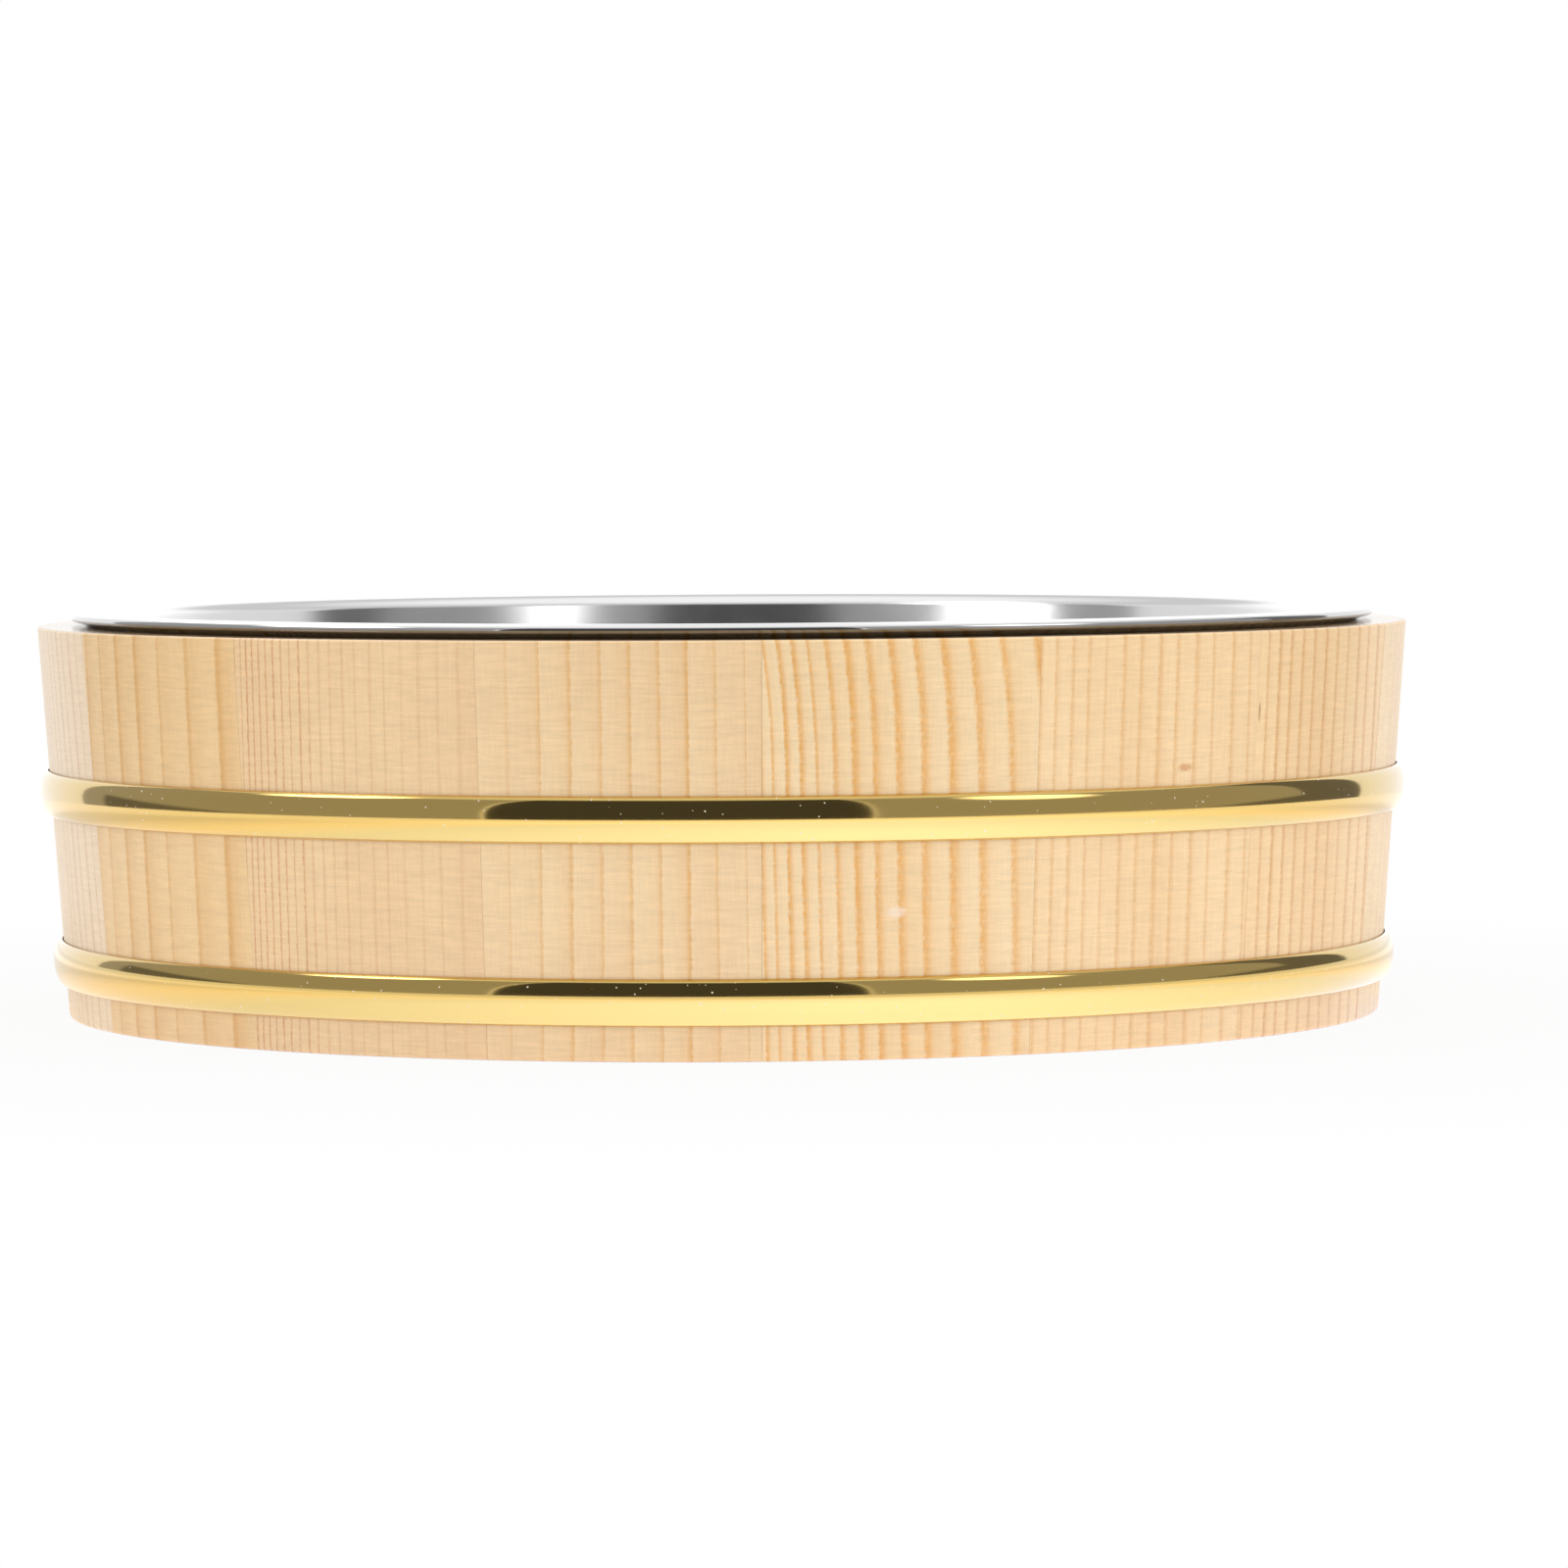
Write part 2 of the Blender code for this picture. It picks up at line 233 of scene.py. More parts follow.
    thread = add(tree, "ShaderNodeVectorMath", {0: wood, 1: FIBRES}, operation="MULTIPLY")
    strand = {"Vector": thread, "Scale": 1.0, "Detail": 3.0, "Roughness": 0.6}
    fibre = add(tree, "ShaderNodeTexNoise", strand)
    drift = add(tree, "ShaderNodeVectorMath", {0: wood, 1: RIPPLES}, operation="MULTIPLY")
    sanding = {"Vector": drift, "Scale": 1.0, "Detail": 4.0, "Roughness": 0.7}
    ripple = add(tree, "ShaderNodeTexNoise", sanding)
    grain = add(tree, "ShaderNodeMath", {0: fibre, 1: ripple}, operation="ADD")
    dark, pale = FIBRE_SHADE
    veil = {"Value": fibre, "From Min": 0.25, "From Max": 0.75, "To Min": dark, "To Max": pale}
    shade = add(tree, "ShaderNodeMapRange", veil)
    # Painted sheen, in part: the ripples' pale streaks stand for glints on the sanding marks.
    dark, pale = RIPPLE_SHADE_AND_SHEEN
    wave = {"Value": ripple, "From Min": 0.3, "From Max": 0.7, "To Min": dark, "To Max": pale}
    ripple_sheen = add(tree, "ShaderNodeMapRange", wave)
    shade = add(tree, "ShaderNodeMath", {0: shade, 1: ripple_sheen}, operation="MULTIPLY")
    facing = add(tree, "ShaderNodeSeparateXYZ", {0: place.outputs["Normal"]})
    upright = add(tree, "ShaderNodeMath", {0: facing.outputs[2]}, operation="ABSOLUTE")
    # Painted highlight: faces turned a little upward, such as the arrises, are made paler as if lit from
    # above.
    arris_highlight = {"Value": upright, "From Min": ARRIS_HIGHLIGHT_FACING[0], "From Max": ARRIS_HIGHLIGHT_FACING[1], "To Min": 1.0}
    arris_highlight = add(tree, "ShaderNodeMapRange", arris_highlight | {"To Max": ARRIS_HIGHLIGHT})
    shade = add(tree, "ShaderNodeMath", {0: shade, 1: arris_highlight}, operation="MULTIPLY")
    sawn = {"Value": upright, "From Min": SAWN_FACING[0], "From Max": SAWN_FACING[1], "To Min": 1.0}
    open_end = add(tree, "ShaderNodeMapRange", sawn | {"To Max": SAWN_SHADE})
    shade = add(tree, "ShaderNodeMath", {0: shade, 1: open_end}, operation="MULTIPLY")
    y, z, half_width, half_height, tint = board["mark"]
    size = (0.0, 1 / half_width, 1 / half_height)
    centre = (0.0, -y / half_width, -z / half_height)
    near = add(tree, "ShaderNodeVectorMath", {0: wood, 1: size, 2: centre}, operation="MULTIPLY_ADD")
    reach = add(tree, "ShaderNodeVectorMath", {0: near}, operation="LENGTH")
    ragged = add(tree, "ShaderNodeMath", {0: reach.outputs["Value"], 1: cells}, operation="ADD")
    spot = {"Value": ragged, "From Min": MARK_EDGE[0], "From Max": MARK_EDGE[1], "To Min": MARK_STRENGTH}
    spot = add(tree, "ShaderNodeMapRange", spot | {"To Max": 0.0}, interpolation_type="SMOOTHSTEP")
    marked = add(tree, "ShaderNodeMix", {0: spot, 6: ringed.outputs[2], 7: linear(tint)}, data_type="RGBA")
    colour = add(tree, "ShaderNodeVectorMath", {0: marked.outputs[2], 3: shade}, operation="SCALE")

    satin, dull = PINE_ROUGHNESS
    gloss = add(tree, "ShaderNodeMapRange", {"Value": fibre, "To Min": satin, "To Max": dull})
    planed = add(tree, "ShaderNodeMapRange", sawn | {"To Max": SAWN_GLOSS})
    gloss = add(tree, "ShaderNodeMath", {0: gloss, 1: planed}, operation="MULTIPLY")
    bump = add(tree, "ShaderNodeBump", {"Strength": 0.25, "Distance": GRAIN_DEPTH, "Height": grain})
    skin = {"Base Color": colour, "Roughness": gloss, "Normal": bump, "IOR": 1.45}
    oiled = {"Coat Weight": 0.2, "Coat Roughness": 0.15}
    shader = add(tree, "ShaderNodeBsdfPrincipled", skin | oiled)
    add(tree, "ShaderNodeOutputMaterial", {"Surface": shader})
    return material


# The kinds of board, in millimetres. "first" is where the first line stands across the stave, "ring" and
# "growth" are the first ring's width and how each next one widens, and "side" is the way they go. The lines
# lean along the stave, bow, slant with depth and sway. "late_share" and "edge" are what a line's soft side
# and sharp side take of a ring, "tail" is the tint that follows it, "weak" is the faintest line, and "year"
# picks the strong ones. Past "last" only a share of them is left. "mark" is one stain: its place across and
# up the stave, half its width and height, and its colour.
BOARDS = {
    "bold": {
        "early": "f6daae", "blush": "f4d4a4", "late": "e8aa57",
        "first": -18.2, "ring": 2.8, "growth": 1.09, "side": 1,
        "lean": -0.020, "bow": 0.0030, "slant": 0.20, "sway": 1.6,
        "late_share": 0.36, "edge": 0.16, "tail": 0.25, "weak": 0.7, "year": 3.0,
        "last": (60, 1.0), "mark": (-1.0, -33, 2.0, 1.2, "fbe6cf"),
    },
    "fine": {
        "early": "f8d9ab", "blush": "f4d1a0", "late": "e6b67c",
        "first": -21.4, "ring": 3.2, "growth": 1.04, "side": 1,
        "lean": -0.010, "bow": 0.0, "slant": 0.10, "sway": 1.0,
        "late_share": 0.24, "edge": 0.16, "tail": 0.15, "weak": 0.4, "year": 9.0,
        "last": (60, 1.0), "mark": (6.6, -10, 2.0, 0.8, "d4935c"),
    },
    "pale": {
        "early": "f5ddbd", "blush": "f1d6b3", "late": "dcb88f",
        "first": -22.4, "ring": 3.0, "growth": 1.03, "side": 1,
        "lean": -0.005, "bow": 0.0, "slant": 0.10, "sway": 1.0,
        "late_share": 0.24, "edge": 0.16, "tail": 0.15, "weak": 0.2, "year": 6.0,
        "last": (60, 1.0), "mark": (16.0, 6, 0.4, 2.0, "d9a67c"),
    },
    "even": {
        "early": "f8d7a6", "blush": "f4ce9c", "late": "dca86e",
        "first": -22.0, "ring": 3.45, "growth": 1.045, "side": 1,
        "lean": -0.020, "bow": 0.0, "slant": 0.15, "sway": 1.0,
        "late_share": 0.26, "edge": 0.16, "tail": 0.15, "weak": 0.5, "year": 5.0,
        "last": (60, 1.0), "mark": (-23.4, -1, 0.3, 2.4, "7d5a2c"),
    },
    "wide": {
        "early": "f4d3a0", "blush": "f0cb96", "late": "deab68",
        "first": -20.1, "ring": 7.0, "growth": 1.05, "side": 1,
        "lean": 0.045, "bow": 0.0, "slant": 0.20, "sway": 1.6,
        "late_share": 0.16, "edge": 0.07, "tail": 0.45, "weak": 0.5, "year": 2.0,
        "last": (14, 0.05), "mark": (10.0, -39, 0.25, 5.0, "b98a52"),
    },
    "dense": {
        "early": "f2d2a4", "blush": "efca9c", "late": "cc8955",
        "first": -23.7, "ring": 1.5, "growth": 1.058, "side": 1,
        "lean": 0.030, "bow": 0.0, "slant": 0.08, "sway": 0.8,
        "late_share": 0.18, "edge": 0.16, "tail": 0.05, "weak": 0.4, "year": 7.0,
        "last": (-13, 0.35), "mark": (21.0, -40, 2.2, 16.0, "ecc28e"),
    },
    "plain": {
        "early": "f5d8aa", "blush": "f0cda0", "late": "e3ad66",
        "first": -22.8, "ring": 4.7, "growth": 1.02, "side": -1,
        "lean": -0.005, "bow": 0.0, "slant": 0.12, "sway": 1.2,
        "late_share": 0.16, "edge": 0.06, "tail": 0.25, "weak": 0.15, "year": 4.0,
        "last": (60, 1.0), "mark": (-17.5, -6, 1.0, 4.0, "fae3c4"),
    },
}
STAVE_BOARDS = ["bold", "fine", "even", "plain", "fine", "wide", "dense", "even"]
STAVE_BOARDS += ["fine", "plain", "even", "wide", "pale", "wide", "dense", "plain"]

croze_low = floor_low - SEAT_GAP
croze_high = floor_high + SEAT_GAP
croze_radius = stave_radius((floor_low + floor_high) / 2) - STAVE_THICKNESS + CROZE_DEPTH
stave_section = [
    (FOOT_RADIUS, 0),
    (TOP_RADIUS, wall_top),
    (TOP_RADIUS - STAVE_THICKNESS, wall_top),
    (FOOT_RADIUS - STAVE_THICKNESS, 0),
    (stave_radius(croze_low) - STAVE_THICKNESS, croze_low),
    (croze_radius, croze_low),
    (croze_radius, croze_high),
    (stave_radius(croze_high) - STAVE_THICKNESS, croze_high),
]
section_order = [0, 1, 2, 7, 6, 5, 4, 3]
glue_angle = GLUE_LINE / TOP_RADIUS
for index in range(STAVE_COUNT):
    node = f"stave_{index + 1:02d}"
    joint = FIRST_JOINT + index * stave_pitch
    sweep = stave_pitch - glue_angle
    bm = bmesh.new()
    corners = [bm.verts.new((radius, 0, height)) for radius, height in stave_section]
    bm.faces.new([corners[i] for i in section_order])
    bmesh.ops.bevel(
        bm, geom=corners[:4], offset=ARRIS, segments=ARRIS_STEPS,
        profile=0.5, affect="VERTICES", material=-1,
    )
    start = Matrix.Rotation(joint + glue_angle / 2, 3, "Z")
    bmesh.ops.rotate(bm, verts=bm.verts, cent=(0, 0, 0), matrix=start)
    everything = bm.verts[:] + bm.edges[:] + bm.faces[:]
    bmesh.ops.spin(bm, geom=everything, axis=(0, 0, 1), cent=(0, 0, 0), angle=sweep, steps=STAVE_STEPS)
    bmesh.ops.recalc_face_normals(bm, faces=bm.faces)
    turn = (0.0, 0.0, -(joint + stave_pitch / 2))
    board = STAVE_BOARDS[index]
    length_used = BOARD_PITCH * STAVE_BOARDS[:index].count(board)
    origin = (-MM * TOP_RADIUS, 0.0, MM * (length_used - LINES_HEIGHT))
    pine = planed_pine(f"pine_{node}", turn, origin, BOARDS[board])
    stave = finish_piece(bm, f"dressed_{node}", pine)
    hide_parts(node)
    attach(stave, "tub")


# Floor: three pine boards glued edge to edge and cut round, sprung into the groove of the staves before the
# hoops go on. Their grain runs front to back.
FLOOR_BOARDS = [("floor_board_1", "plain"), ("floor_board_2", "even"), ("floor_board_3", "wide")]
along_floor = Matrix(((0, 0, 1), (1, 0, 0), (0, 1, 0))).to_euler()
for node, board in FLOOR_BOARDS:
    low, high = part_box(node)
    centre = (low + high) / 2
    origin = (-MM * centre.z, -MM * centre.x, 0.0)
    pine = planed_pine(f"pine_{node}", along_floor, origin, BOARDS[board])
    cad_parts[node].data.materials.clear()
    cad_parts[node].data.materials.append(pine)


# Hoops: two bands of thin brass sheet pressed to a half oval, gilt, polished bright and lacquered. They are
# driven up the taper of the staves until they bite.
HOOP_WIDTH = 0.0081
HOOP_BULGE = 0.0018
HOOP_SHEET = 0.0005
HOOP_SEAT = 0.00025
HOOP_DROP = 0.0002
HOOP_STEPS = 256
OVAL_STEPS = 64
MERGE = 1e-6
GILT_CLOUDS_PER_MM = 0.08
GILT_ROUGHNESS = (0.05, 0.12)
DUST_PER_MM = 1.0
DUST_RADIUS = (0.001, 0.20)
DUST_BARE = 0.7
DUST_EDGE = (0.7, 1.1)


def polished_gilt(name):
    """Brass with a bright gold plating under clear lacquer: a mirror that whitens where it turns away.

    It has a faint drawn bloom, and a few specks of dust lie on it.
    """
    material, tree, place = new_material(name)
    mm = add(tree, "ShaderNodeMapping", {"Vector": place.outputs["Object"], "Scale": IN_MM})
    cloud = add(tree, "ShaderNodeTexNoise", {"Vector": mm, "Scale": GILT_CLOUDS_PER_MM, "Detail": 3.0})
    bright, dull = GILT_ROUGHNESS
    bloom = add(tree, "ShaderNodeMapRange", {"Value": cloud, "To Min": bright, "To Max": dull})
    grid = add(tree, "ShaderNodeTexVoronoi", {"Vector": mm, "Scale": DUST_PER_MM})
    lot = add(tree, "ShaderNodeSeparateXYZ", {0: grid.outputs["Color"]})
    small, large = DUST_RADIUS
    size = {"Value": lot.outputs[0], "From Min": DUST_BARE, "To Min": small, "To Max": large}
    size = add(tree, "ShaderNodeMapRange", size)
    apart = add(tree, "ShaderNodeMath", {0: grid.outputs["Distance"], 1: size}, operation="DIVIDE")
    inner, outer = DUST_EDGE
    speck = {"Value": apart, "From Min": inner, "From Max": outer, "To Min": 1.0, "To Max": 0.0}
    speck = add(tree, "ShaderNodeMapRange", speck)
    clean = add(tree, "ShaderNodeMath", {0: 1.0, 1: speck}, operation="SUBTRACT")
    dusty = {0: speck, 6: linear("dcbc6d"), 7: linear("f3ead2")}
    colour = add(tree, "ShaderNodeMix", dusty, data_type="RGBA")
    gold = {"Base Color": colour.outputs[2], "Metallic": clean, "Roughness": bloom}
    lacquer = {"Coat Weight": 0.6, "Coat Roughness": 0.05}
    shader = add(tree, "ShaderNodeBsdfPrincipled", gold | lacquer)
    add(tree, "ShaderNodeOutputMaterial", {"Surface": shader})
    return material


def spin_sheet(bm, steps, thickness):
    """Spins a section right round the tub's axis, closes its seam, and gives the sheet its thickness."""
    section = bm.verts[:] + bm.edges[:]
    round_axis = {"axis": (0, 0, 1), "cent": (0, 0, 0), "angle": 2 * math.pi}
    bmesh.ops.spin(bm, geom=section, steps=steps, use_merge=True, **round_axis)
    bmesh.ops.remove_doubles(bm, verts=bm.verts, dist=MERGE)
    bmesh.ops.recalc_face_normals(bm, faces=bm.faces)
    bmesh.ops.solidify(bm, geom=bm.faces[:], thickness=thickness)


gilt = polished_gilt("polished_gilt_brass")
for node in ("hoop_lower", "hoop_upper"):
    low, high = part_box(node)
    height = (low.z + high.z) / 2 - HOOP_DROP
    bm = bmesh.new()
    oval = bmesh.ops.create_circle(bm, segments=OVAL_STEPS, radius=1.0)["verts"]
    bmesh.ops.scale(bm, verts=oval, vec=(HOOP_BULGE, HOOP_WIDTH / 2, 1))
    bmesh.ops.rotate(bm, verts=oval, cent=(0, 0, 0), matrix=Matrix.Rotation(math.pi / 2, 3, "X"))
    plane = {"plane_co": (0, 0, 0), "plane_no": (1, 0, 0), "dist": MERGE}
    bmesh.ops.bisect_plane(bm, geom=bm.verts[:] + bm.edges[:], clear_inner=True, **plane)
    bmesh.ops.rotate(bm, verts=bm.verts, cent=(0, 0, 0), matrix=Matrix.Rotation(taper, 3, "Y"))
    seat = (stave_radius(height) + HOOP_SEAT, 0, height)
    bmesh.ops.translate(bm, verts=bm.verts, vec=seat)
    spin_sheet(bm, HOOP_STEPS, HOOP_SHEET)
    hoop = finish_piece(bm, f"dressed_{node}", gilt)
    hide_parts(node)
    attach(hoop, "tub")


# Pegs: split bamboo, one across each joint between staves and two across each joint of the floor, hidden
# in the wood once the tub is glued up.
BUNDLES_PER_MM = 2.5


def split_bamboo(name):
    """Split bamboo: straw coloured, with fine dark fibre bundles."""
    material, tree, place = new_material(name)
    mm = add(tree, "ShaderNodeMapping", {"Vector": place.outputs["Object"], "Scale": IN_MM})
    bundle = add(tree, "ShaderNodeTexNoise", {"Vector": mm, "Scale": BUNDLES_PER_MM, "Detail": 2.0})
    straw = {0: bundle, 6: linear("d9bf83"), 7: linear("b18f52")}
    colour = add(tree, "ShaderNodeMix", straw, data_type="RGBA")
    skin = {"Base Color": colour.outputs[2], "Roughness": 0.55, "IOR": 1.5}
    shader = add(tree, "ShaderNodeBsdfPrincipled", skin)
    add(tree, "ShaderNodeOutputMaterial", {"Surface": shader})
    return material


bamboo = split_bamboo("split_bamboo")
for node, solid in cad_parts.items():
    if "_peg_" in node:
        solid.data.materials.clear()
        solid.data.materials.append(bamboo)


# Pan: one sheet of stainless steel drawn into a shallow pan and polished bright, with its edge rolled over
# and under into a bead. It hangs on the staves by that bead and lifts straight out.
PAN_SHEET = 0.0005
PAN_RIM_RADIUS = 0.119
PAN_ROLL_RADIUS = 0.0007
PAN_ROLL_SWEEP = math.radians(205)
PAN_ROLL_STEPS = 24
PAN_FOOT_RADIUS = 0.1159
PAN_FOOT_GAP = 0.00005
PAN_LIP_RADIUS = 0.003
PAN_LIP_STEPS = 12
PAN_CORNER_RADIUS = 0.010
PAN_CORNER_STEPS = 16
PAN_MOUTH_RADIUS = 0.1134
PAN_DRAFT = taper + math.radians(2)
PAN_RIM_FALL = 0.0007
PAN_ROLL_DROP = PAN_RIM_FALL / 3
PAN_STEPS = 256
STEEL_CLOUDS_PER_MM = 0.06
STEEL_HAZE = (0.5, 1.0)
BUFFED_FROM_MM = (116.0, 116.8)
BUFFED_ROUGHNESS = (0.22, 0.08)


def polished_steel(name):
    """Stainless steel polished to a mirror, brightest on the rim, with a faint haze left by the buffing."""
    material, tree, place = new_material(name)
    mm = add(tree, "ShaderNodeMapping", {"Vector": place.outputs["Object"], "Scale": IN_MM})
    cloud = add(tree, "ShaderNodeTexNoise", {"Vector": mm, "Scale": STEEL_CLOUDS_PER_MM, "Detail": 3.0})
    flat = add(tree, "ShaderNodeVectorMath", {0: mm, 1: (1.0, 1.0, 0.0)}, operation="MULTIPLY")
    out = add(tree, "ShaderNodeVectorMath", {0: flat}, operation="LENGTH")
    inner, outer = BUFFED_FROM_MM
    inside, rim = BUFFED_ROUGHNESS
    worn = {"Value": out.outputs["Value"], "From Min": inner, "From Max": outer}
    worn = add(tree, "ShaderNodeMapRange", worn | {"To Min": inside, "To Max": rim})
    clear, hazy = STEEL_HAZE
    haze = add(tree, "ShaderNodeMapRange", {"Value": cloud, "To Min": clear, "To Max": hazy})
    haze = add(tree, "ShaderNodeMath", {0: haze, 1: worn}, operation="MULTIPLY")
    steel = {"Base Color": linear("d0d0d0"), "Metallic": 1.0, "Roughness": haze}
    shader = add(tree, "ShaderNodeBsdfPrincipled", steel)
    add(tree, "ShaderNodeOutputMaterial", {"Surface": shader})
    return material


pan_low, pan_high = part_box("pan")
pan_floor = pan_low.z + PAN_SHEET
bend = math.pi / 2 - PAN_DRAFT
wall_end = pan_high.z - PAN_LIP_RADIUS * (1 - math.sin(PAN_DRAFT))
corner_radius = PAN_MOUTH_RADIUS - (wall_end - pan_floor) * math.tan(PAN_DRAFT)
lip_start = PAN_MOUTH_RADIUS + (pan_high.z - wall_end) * math.tan(PAN_DRAFT)
roll_top = pan_high.z - PAN_ROLL_DROP
roll_centre = (PAN_RIM_RADIUS - PAN_ROLL_RADIUS, 0, roll_top - PAN_ROLL_RADIUS)
bends = [
    (0, pan_floor),
    (corner_radius, pan_floor),
    (lip_start, roll_top + PAN_RIM_FALL),
    (roll_centre[0], roll_top),
]
bm = bmesh.new()
points = [bm.verts.new((radius, 0, height)) for radius, height in bends]
for pair in zip(points, points[1:]):
    bm.edges.new(pair)
bead = {"axis": (0, 1, 0), "cent": roll_centre, "angle": PAN_ROLL_SWEEP}
rolled = bmesh.ops.spin(bm, geom=points[-1:], steps=PAN_ROLL_STEPS, **bead)
roll_end = [part for part in rolled["geom_last"] if isinstance(part, bmesh.types.BMVert)][0]
bm.edges.new((roll_end, bm.verts.new((PAN_FOOT_RADIUS, 0, wall_top + PAN_FOOT_GAP))))
corner = (points[1], PAN_CORNER_RADIUS, PAN_CORNER_STEPS)
lip = (points[2], PAN_LIP_RADIUS, PAN_LIP_STEPS)
for point, radius, steps in (corner, lip):
    reach = radius * math.tan(bend / 2)
    bmesh.ops.bevel(
        bm, geom=[point], offset=reach, segments=steps,
        profile=0.5, affect="VERTICES", material=-1,
    )
spin_sheet(bm, PAN_STEPS, PAN_SHEET)
pan = finish_piece(bm, "dressed_pan", polished_steel("polished_stainless_steel"))
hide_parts("pan")
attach(pan, "pan")


# Studio: the tub stands on white paper inside a small tent of white cloth that is open to the front. Only
# reflections show the tent's pattern and the full glow of the paper: all else gets one soft level. A wide
# lamp stands in front, one on each side, and a small one is held above the left of the rim.
PAPER_SIZE = 4.0
PAPER_GLOW = 0.1
POOL = (0.04, -0.135, 0.0)
POOL_REACH = (0.02, 0.27)
POOL_GLOW = (1.6, 0.35)
POOL_TINT_REACH = (0.14, 0.20)
SHADOW_REACH = (0.12, 0.35)
SHADOW_LIFT = (0.93, 1.0)
TENT_RADIUS = 0.26
TENT_STEPS = 64
TENT_APEX = 0.065
TENT_OPENING = (math.radians(-38.6), math.radians(24.2))
TENT_SIDES = (math.radians(-120), math.radians(119))
TENT_SHADE = (math.radians(102), math.radians(119))
TENT_REAR = (2.54, 2.95)
TENT_HEM = ((math.radians(79), math.radians(112)), (0.020, 0.062))
TENT_FOOT = 0.022
TENT_ROOF = (0.163, 0.177)
TENT_CROWN = (0.205, 0.240)
EDGE_WIDTH = 0.01
EDGE_BLUR = 0.004
HEM_BLUR = 0.005
HEM_END = 0.02
OPENING_LEVEL = 0.07
SIDE_LEVEL = 0.42
SHADE_LEVEL = 0.17
BACK_LEVEL = (1.1, 1.6)
ROOF_LEVEL = (0.9, 1.4)
EDGE_LEVEL = 1.2
TENT_SOFT_LEVEL = 0.70
SPOT_FADE = (0.6, 1.2)
SPOTS = [
    (math.radians(56), 0.142, math.radians(12), 0.028, 2.8),
    (math.radians(-79), 0.170, math.radians(14), 0.024, 4.5),
]
LAMPS = [
    ("lamp_over", (-0.106, -0.010, 0.145), (0.055, 0.12), 0.070, True),
    ("lamp_front", (0.000, -2.400, 0.150), (1.80, 0.28), 10.5, False),
    ("lamp_left", (-0.940, -0.340, 0.300), (0.40, 0.40), 1.15, False),
    ("lamp_right", (0.940, -0.340, 0.300), (0.40, 0.40), 1.9, False),
]


def white_paper(name):
    """Lit white paper: reflections show it brightest in front of the tub, and the camera sees it white.

    A trace of the tub's shadow is left on it.
    """
    material, tree, place = new_material(name)
    reach = add(tree, "ShaderNodeVectorMath", {0: place.outputs["Object"]}, operation="LENGTH")
    ahead = add(tree, "ShaderNodeVectorMath", {0: place.outputs["Object"], 1: POOL}, operation="DISTANCE")
    pool = {"Value": ahead.outputs["Value"], "From Min": POOL_REACH[0], "From Max": POOL_REACH[1]}
    mirrored = add(tree, "ShaderNodeMapRange", pool | {"To Min": POOL_GLOW[0], "To Max": POOL_GLOW[1]})
    path = add(tree, "ShaderNodeLightPath")
    spread = {0: path.outputs["Is Glossy Ray"], 2: PAPER_GLOW, 3: mirrored}
    level = add(tree, "ShaderNodeMix", spread, data_type="FLOAT")
    near, far = POOL_TINT_REACH
    outer = {"Value": ahead.outputs["Value"], "From Min": near, "From Max": far}
    outer = add(tree, "ShaderNodeMapRange", outer)
    tint = {0: outer, 6: linear("ccdcff"), 7: linear("fff0dc")}
    tint = add(tree, "ShaderNodeMix", tint, data_type="RGBA")
    glow = add(tree, "ShaderNodeEmission", {"Color": tint.outputs[2], "Strength": level})
    matt = add(tree, "ShaderNodeBsdfDiffuse", {"Color": linear("e8e8e8")})
    paper = add(tree, "ShaderNodeAddShader", {0: glow, 1: matt})
    white = add(tree, "ShaderNodeEmission", {"Strength": 1.0})
    clean = {"Value": reach.outputs["Value"], "From Min": SHADOW_REACH[0], "From Max": SHADOW_REACH[1]}
    lift = add(tree, "ShaderNodeMapRange", clean | {"To Min": SHADOW_LIFT[0], "To Max": SHADOW_LIFT[1]})
    faint = add(tree, "ShaderNodeMixShader", {0: lift, 1: matt, 2: white})
    shown = add(tree, "ShaderNodeMixShader", {0: path.outputs["Is Camera Ray"], 1: paper, 2: faint})
    add(tree, "ShaderNodeOutputMaterial", {"Surface": shown})
    return material


